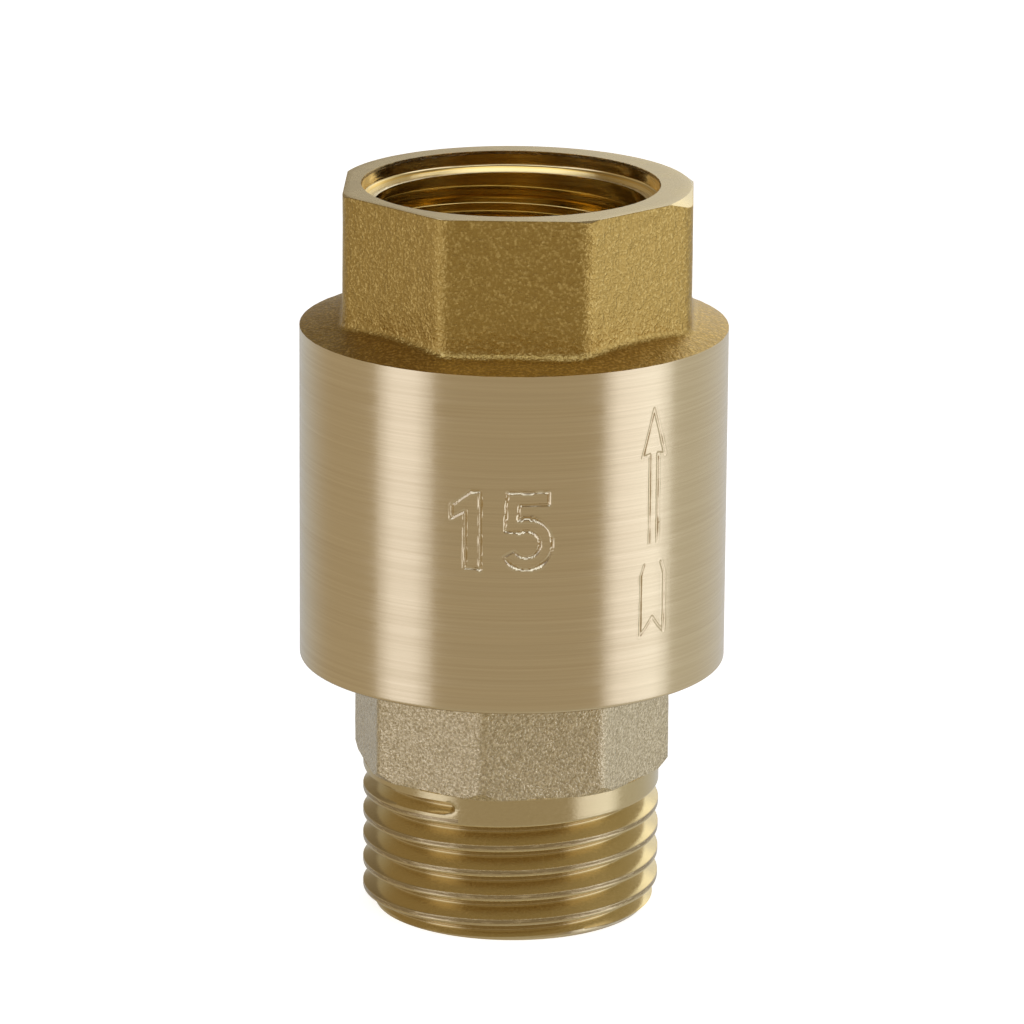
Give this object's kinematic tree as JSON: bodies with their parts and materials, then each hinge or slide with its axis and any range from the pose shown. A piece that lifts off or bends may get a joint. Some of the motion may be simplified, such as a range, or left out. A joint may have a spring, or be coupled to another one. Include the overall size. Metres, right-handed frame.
{
  "type": "check valve",
  "caption": "Spring-loaded inline check valve with a male thread at its inlet, a female thread at its outlet, and a sprung poppet that lets water through one way.",
  "frame": {"origin": "centre of the inlet end face, at the bottom of the male thread", "axes": "+Z along the valve's axis with the flow, from the inlet to the outlet; -Y is the normal of one of the outlet's wrench flats; +X completes the right-handed frame"},
  "size_m": [0.03, 0.03, 0.0522],
  "materials": {
    "forged_brass": "shot-blasted forging, with a fine-turned cylinder and bright machined mouth and threads",
    "connector_brass": "pale rough cast flats and bright machined threads",
    "turned_brass": "bright turned",
    "spring_steel": "drawn stainless wire",
    "stainless_sheet": "punched stainless sheet",
    "acetal": "moulded, natural white",
    "ptfe": "waxy white ring",
    "nitrile": "moulded, dull black"
  },
  "bodies": {
    "housing": {"valve_body": "forged_brass", "end_connector": "connector_brass", "joint_ring": "ptfe", "stem_guide": "acetal"},
    "return_spring": {"return_spring": "spring_steel"},
    "poppet": {"poppet_stem": "turned_brass", "poppet_disc": "turned_brass", "seat_seal": "nitrile", "seal_retainer": "stainless_sheet", "retainer_nut": "turned_brass"}
  },
  "joints": [
    {"name": "valve_lift", "type": "slide", "parent": "housing", "child": "return_spring", "axis": [0, 0, 1], "range_m": [0, 0.0042], "stiffness_N_per_m": 366, "springref_m": -0.0026, "deforming": ["return_spring"]},
    {"name": "poppet_spin", "type": "hinge", "parent": "return_spring", "child": "poppet", "pos_m": [0, 0, 0], "axis": [0, 0, 1], "continuous": true}
  ]
}
